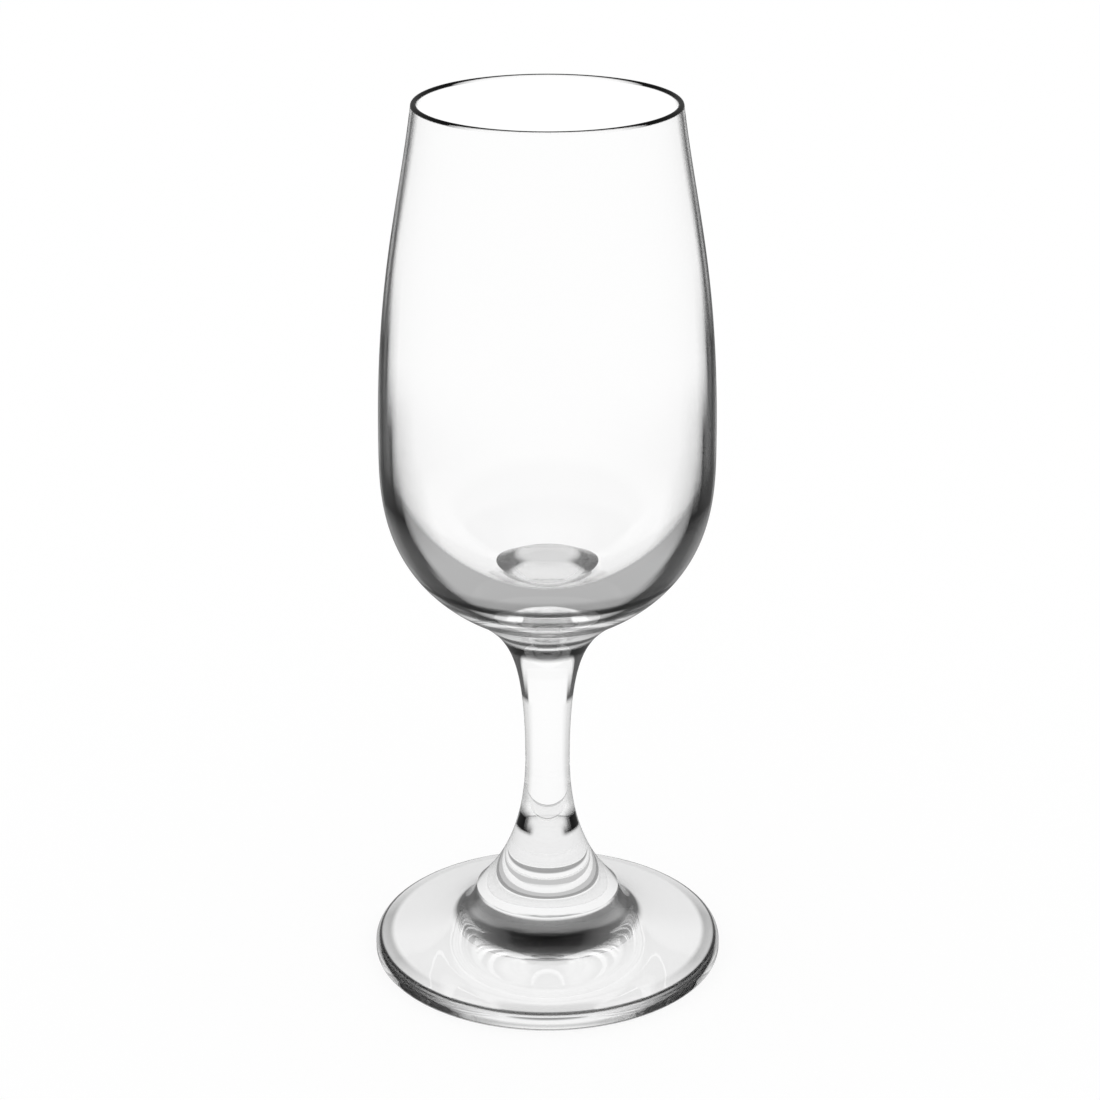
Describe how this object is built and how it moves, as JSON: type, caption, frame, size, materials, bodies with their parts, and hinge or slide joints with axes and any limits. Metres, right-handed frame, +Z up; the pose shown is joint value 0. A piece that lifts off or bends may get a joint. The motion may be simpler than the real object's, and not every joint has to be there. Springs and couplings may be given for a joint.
{
  "type": "sherry glass",
  "caption": "Small stemmed sherry glass in clear glass: a tall tulip bowl that narrows to a beaded rim, a slim flared stem and a round foot.",
  "frame": {"origin": "centre of the ring that the foot stands on, at the surface underneath", "axes": "+Z up along the axis of turning, from the foot to the rim; X and Y are alike, because the glass is round"},
  "size_m": [0.0562, 0.0562, 0.14],
  "materials": {
    "clear_glass": "fire-polished, clear and colourless"
  },
  "bodies": {
    "root": {"foot": "clear_glass", "stem": "clear_glass", "bowl": "clear_glass"}
  },
  "joints": []
}
